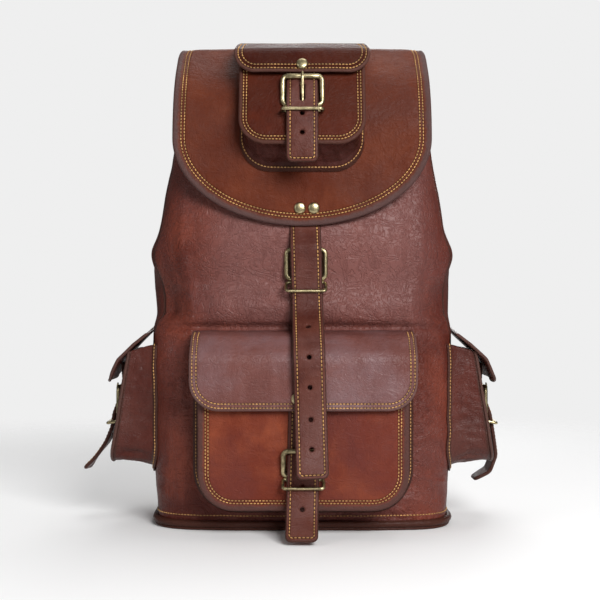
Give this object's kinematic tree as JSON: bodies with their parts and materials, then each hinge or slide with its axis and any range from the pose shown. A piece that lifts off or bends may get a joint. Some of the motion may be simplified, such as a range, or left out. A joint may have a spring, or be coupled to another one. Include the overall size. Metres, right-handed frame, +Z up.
{
  "type": "leather backpack",
  "caption": "Leather rucksack with a rounded buckled main flap, a flap pocket, a front pocket, two side pockets, padded shoulder straps and a grab handle.",
  "frame": {"origin": "centre of the base's underside, on the surface that the bag stands on", "axes": "+Z up, -Y towards the front with the main flap's rounded end, +X to the right seen from the front"},
  "size_m": [0.3952, 0.2578, 0.451],
  "materials": {
    "bag_leather": "oiled, semi-matt",
    "flap_leather": "oiled, semi-matt",
    "pocket_leather": "oiled, semi-matt",
    "strap_leather": "oiled, semi-matt",
    "pad_leather": "oiled, semi-matt",
    "dark_leather": "oiled, semi-matt",
    "board": "matt",
    "brass": "antique, brushed"
  },
  "bodies": {
    "bag": {"front_panel": "bag_leather", "back_panel": "bag_leather", "left_side_panel": "bag_leather", "right_side_panel": "bag_leather", "base_panel": "bag_leather", "base_welt": "dark_leather", "base_stiffener": "board", "mouth_eyelets": "brass", "front_pocket_gusset": "pocket_leather", "front_pocket_front": "pocket_leather", "left_pocket_gusset": "pocket_leather", "left_pocket_front": "pocket_leather", "right_pocket_gusset": "pocket_leather", "right_pocket_front": "pocket_leather", "shoulder_yoke": "pad_leather", "strap_anchors": "strap_leather", "front_buckle_tab": "strap_leather", "front_buckle_keeper": "brass", "main_buckle_tab": "strap_leather", "main_buckle_keeper": "brass", "left_buckle_tab": "strap_leather", "left_buckle_keeper": "brass", "right_buckle_tab": "strap_leather", "right_buckle_keeper": "brass"},
    "main_flap": {"main_flap": "flap_leather", "main_flap_rivets": "brass", "flap_pocket_gusset": "pocket_leather", "flap_pocket_front": "pocket_leather", "flap_buckle_tab": "strap_leather", "flap_buckle_keeper": "brass"},
    "main_strap": {"main_strap": "strap_leather"},
    "front_pocket_lid": {"front_pocket_lid": "pocket_leather", "front_lid_rivet": "brass"},
    "front_strap": {"front_strap": "strap_leather"},
    "flap_pocket_lid": {"flap_pocket_lid": "pocket_leather", "flap_lid_rivet": "brass"},
    "flap_pocket_strap": {"flap_pocket_strap": "strap_leather"},
    "left_pocket_lid": {"left_pocket_lid": "pocket_leather"},
    "left_strap": {"left_strap": "strap_leather"},
    "right_pocket_lid": {"right_pocket_lid": "pocket_leather"},
    "right_strap": {"right_strap": "strap_leather"},
    "top_handle": {"top_handle": "strap_leather"},
    "left_shoulder_strap": {"left_shoulder_pad": "pad_leather", "left_lower_strap": "strap_leather", "left_slide": "brass"},
    "right_shoulder_strap": {"right_shoulder_pad": "pad_leather", "right_lower_strap": "strap_leather", "right_slide": "brass"},
    "main_buckle_frame": {"main_buckle_frame": "brass"},
    "main_buckle_tongue": {"main_buckle_tongue": "brass"},
    "front_buckle_frame": {"front_buckle_frame": "brass"},
    "front_buckle_tongue": {"front_buckle_tongue": "brass"},
    "flap_buckle_frame": {"flap_buckle_frame": "brass"},
    "flap_buckle_tongue": {"flap_buckle_tongue": "brass"},
    "left_buckle_frame": {"left_buckle_frame": "brass"},
    "left_buckle_tongue": {"left_buckle_tongue": "brass"},
    "right_buckle_frame": {"right_buckle_frame": "brass"},
    "right_buckle_tongue": {"right_buckle_tongue": "brass"}
  },
  "joints": [
    {"name": "main_flap_hinge", "type": "hinge", "parent": "bag", "child": "main_flap", "pos_m": [0, 0.066, 0.404], "axis": [-1, 0, 0], "range_deg": [0, 105]},
    {"name": "front_lid_hinge", "type": "hinge", "parent": "bag", "child": "front_pocket_lid", "pos_m": [0.001, -0.0798, 0.1785], "axis": [-1, 0, 0], "range_deg": [0, 80]},
    {"name": "flap_lid_hinge", "type": "hinge", "parent": "main_flap", "child": "flap_pocket_lid", "pos_m": [0, -0.012, 0.4498], "axis": [-1, 0, 0], "range_deg": [0, 70]},
    {"name": "left_lid_hinge", "type": "hinge", "parent": "bag", "child": "left_pocket_lid", "pos_m": [-0.1418, 0.002, 0.184], "axis": [0, 1, 0], "range_deg": [0, 75]},
    {"name": "right_lid_hinge", "type": "hinge", "parent": "bag", "child": "right_pocket_lid", "pos_m": [0.1418, 0.002, 0.184], "axis": [0, -1, 0], "range_deg": [0, 75]},
    {"name": "main_strap_swing", "type": "hinge", "parent": "main_flap", "child": "main_strap", "pos_m": [0.004, -0.0805, 0.267], "axis": [-1, 0, 0], "range_deg": [0, 80], "deforming": ["main_strap"]},
    {"name": "front_strap_swing", "type": "hinge", "parent": "front_pocket_lid", "child": "front_strap", "pos_m": [0.0007, -0.1156, 0.104], "axis": [-1, 0, 0], "range_deg": [-50, 0], "deforming": ["front_strap"]},
    {"name": "flap_strap_swing", "type": "hinge", "parent": "flap_pocket_lid", "child": "flap_pocket_strap", "pos_m": [0, -0.0923, 0.405], "axis": [-1, 0, 0], "range_deg": [-45, 0], "deforming": ["flap_pocket_strap"]},
    {"name": "left_strap_swing", "type": "hinge", "parent": "left_pocket_lid", "child": "left_strap", "pos_m": [-0.1705, 0.002, 0.131], "axis": [0, 1, 0], "range_deg": [-48, 0], "deforming": ["left_strap"]},
    {"name": "right_strap_swing", "type": "hinge", "parent": "right_pocket_lid", "child": "right_strap", "pos_m": [0.1705, 0.002, 0.131], "axis": [0, -1, 0], "range_deg": [-48, 0], "deforming": ["right_strap"]},
    {"name": "main_buckle_frame_swing", "type": "hinge", "parent": "bag", "child": "main_buckle_frame", "pos_m": [0.0034, -0.08078, 0.226], "axis": [1, 0, 0], "range_deg": [0, 52]},
    {"name": "main_buckle_tongue_swing", "type": "hinge", "parent": "main_buckle_frame", "child": "main_buckle_tongue", "pos_m": [0.0034, -0.08078, 0.226], "axis": [1, 0, 0], "range_deg": [0, 40]},
    {"name": "front_buckle_frame_swing", "type": "hinge", "parent": "bag", "child": "front_buckle_frame", "pos_m": [0.0009, -0.1156, 0.0545], "axis": [1, 0, 0], "range_deg": [0, 48]},
    {"name": "front_buckle_tongue_swing", "type": "hinge", "parent": "front_buckle_frame", "child": "front_buckle_tongue", "pos_m": [0.0009, -0.1156, 0.0545], "axis": [1, 0, 0], "range_deg": [0, 40]},
    {"name": "flap_buckle_frame_swing", "type": "hinge", "parent": "main_flap", "child": "flap_buckle_frame", "pos_m": [0.0003, -0.10301, 0.378], "axis": [1, 0, 0], "range_deg": [0, 60]},
    {"name": "flap_buckle_tongue_swing", "type": "hinge", "parent": "flap_buckle_frame", "child": "flap_buckle_tongue", "pos_m": [0.0003, -0.10301, 0.378], "axis": [1, 0, 0], "range_deg": [0, 30]},
    {"name": "left_buckle_frame_swing", "type": "hinge", "parent": "bag", "child": "left_buckle_frame", "pos_m": [-0.17419, 0.002, 0.09759], "axis": [0, -1, 0], "range_deg": [0, 60]},
    {"name": "left_buckle_tongue_swing", "type": "hinge", "parent": "left_buckle_frame", "child": "left_buckle_tongue", "pos_m": [-0.17419, 0.002, 0.09759], "axis": [0, -1, 0], "range_deg": [0, 30]},
    {"name": "right_buckle_frame_swing", "type": "hinge", "parent": "bag", "child": "right_buckle_frame", "pos_m": [0.17419, 0.002, 0.09759], "axis": [0, 1, 0], "range_deg": [0, 60]},
    {"name": "right_buckle_tongue_swing", "type": "hinge", "parent": "right_buckle_frame", "child": "right_buckle_tongue", "pos_m": [0.17419, 0.002, 0.09759], "axis": [0, 1, 0], "range_deg": [0, 30]},
    {"name": "top_handle_swing", "type": "hinge", "parent": "bag", "child": "top_handle", "pos_m": [0, 0.077, 0.366], "axis": [-1, 0, 0], "range_deg": [-150, 0]},
    {"name": "left_shoulder_strap_swing", "type": "hinge", "parent": "bag", "child": "left_shoulder_strap", "pos_m": [-0.084, 0.076, 0.03], "axis": [0.1298, 0, 0.9915], "range_deg": [-25, 15], "deforming": ["left_lower_strap"]},
    {"name": "right_shoulder_strap_swing", "type": "hinge", "parent": "bag", "child": "right_shoulder_strap", "pos_m": [0.084, 0.076, 0.03], "axis": [-0.1298, 0, 0.9915], "range_deg": [-15, 25], "deforming": ["right_lower_strap"]}
  ],
  "couplings": [
    {"joint": "main_strap_swing", "follows": "front_lid_hinge", "ratio": 1},
    {"joint": "front_strap_swing", "follows": "front_lid_hinge", "ratio": -0.6},
    {"joint": "front_buckle_frame_swing", "follows": "front_lid_hinge", "ratio": 0.6},
    {"joint": "front_buckle_tongue_swing", "follows": "front_lid_hinge", "ratio": 0.4},
    {"joint": "flap_strap_swing", "follows": "flap_lid_hinge", "ratio": -0.6},
    {"joint": "left_strap_swing", "follows": "left_lid_hinge", "ratio": -0.6},
    {"joint": "right_strap_swing", "follows": "right_lid_hinge", "ratio": -0.6},
    {"joint": "main_buckle_frame_swing", "follows": "main_flap_hinge", "ratio": 0.48},
    {"joint": "main_buckle_tongue_swing", "follows": "main_flap_hinge", "ratio": 0.36}
  ]
}
